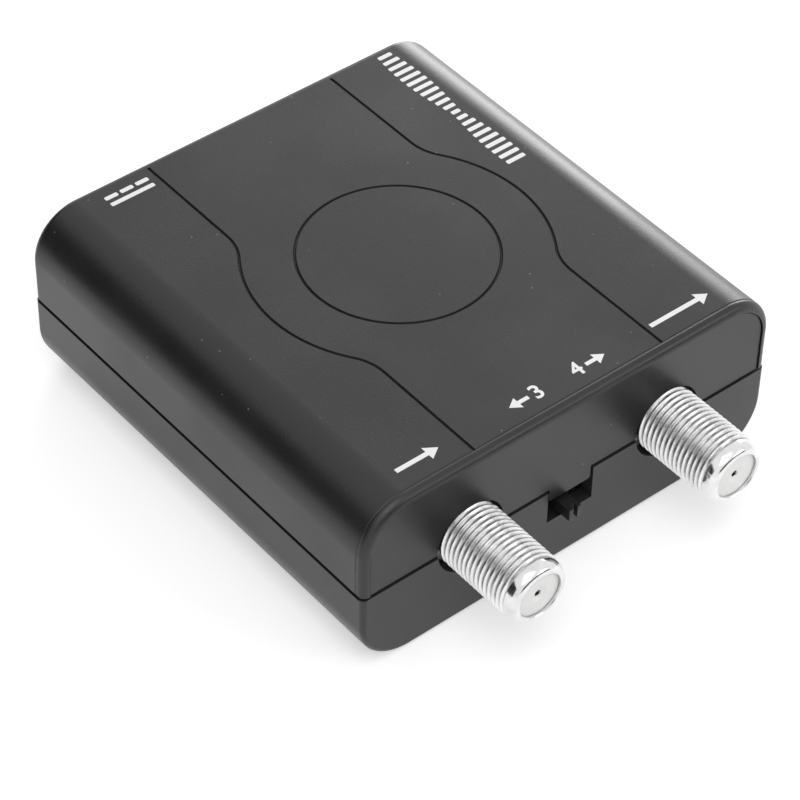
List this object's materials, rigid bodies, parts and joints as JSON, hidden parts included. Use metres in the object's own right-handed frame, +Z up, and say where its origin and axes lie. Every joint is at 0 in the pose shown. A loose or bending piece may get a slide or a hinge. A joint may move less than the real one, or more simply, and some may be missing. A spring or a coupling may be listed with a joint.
{
  "type": "rf modulator",
  "caption": "Flat two-part case round a circuit board, with threaded aerial connectors and a channel slide switch in front, video and power inlets behind.",
  "frame": {"origin": "centre of the case's flat bottom face", "axes": "+X right along the front panel, +Y from the front panel to the back, +Z up"},
  "size_m": [0.067, 0.0824, 0.0267],
  "materials": {
    "case_plastic": "satin moulded with a fine grain",
    "connector_nickel": "bright nickel plate",
    "insulator_white": "smooth moulded",
    "contact_gold": "gold plate",
    "screw_steel": "zinc plate",
    "sheet_steel": "tinned sheet",
    "board_green": "solder resist",
    "switch_black": "moulded",
    "chip_black": "moulded",
    "lead_tin": "tinned",
    "capacitor_aluminium": "satin can",
    "crystal_steel": "satin can",
    "copper_wire": "enamelled winding",
    "ceramic_tan": "ceramic",
    "resistor_black": "ceramic with a dark coat"
  },
  "bodies": {
    "case": {"upper_cover": "case_plastic", "lower_cover": "case_plastic", "case_screws": "screw_steel", "circuit_board": "board_green", "board_screws": "screw_steel", "rf_in_connector_body": "connector_nickel", "rf_in_insulator": "insulator_white", "rf_in_contact": "lead_tin", "rf_out_connector_body": "connector_nickel", "rf_out_insulator": "insulator_white", "rf_out_contact": "lead_tin", "switch_frame": "sheet_steel", "switch_base": "switch_black", "switch_terminals": "contact_gold", "power_inlet_shell": "sheet_steel", "power_inlet_tongue": "chip_black", "power_inlet_contacts": "contact_gold", "video_inlet_shell": "sheet_steel", "video_inlet_tongue": "chip_black", "video_inlet_contacts": "contact_gold", "rf_shield_frame": "sheet_steel", "rf_shield_lid": "sheet_steel", "rf_chip": "chip_black", "rf_chip_leads": "lead_tin", "video_chip": "chip_black", "video_chip_leads": "lead_tin", "control_chip": "chip_black", "control_chip_leads": "lead_tin", "regulator": "chip_black", "regulator_leads": "lead_tin", "capacitor_cans": "capacitor_aluminium", "capacitor_bases": "chip_black", "power_coil_core": "chip_black", "power_coil_wire": "copper_wire", "crystal": "crystal_steel", "chip_capacitors": "ceramic_tan", "chip_resistors": "resistor_black"},
    "channel_slider": {"switch_slider": "switch_black", "switch_contact_clip": "contact_gold"}
  },
  "joints": [
    {"name": "channel_switch", "type": "slide", "parent": "case", "child": "channel_slider", "axis": [1, 0, 0], "range_m": [0, 0.002]}
  ]
}
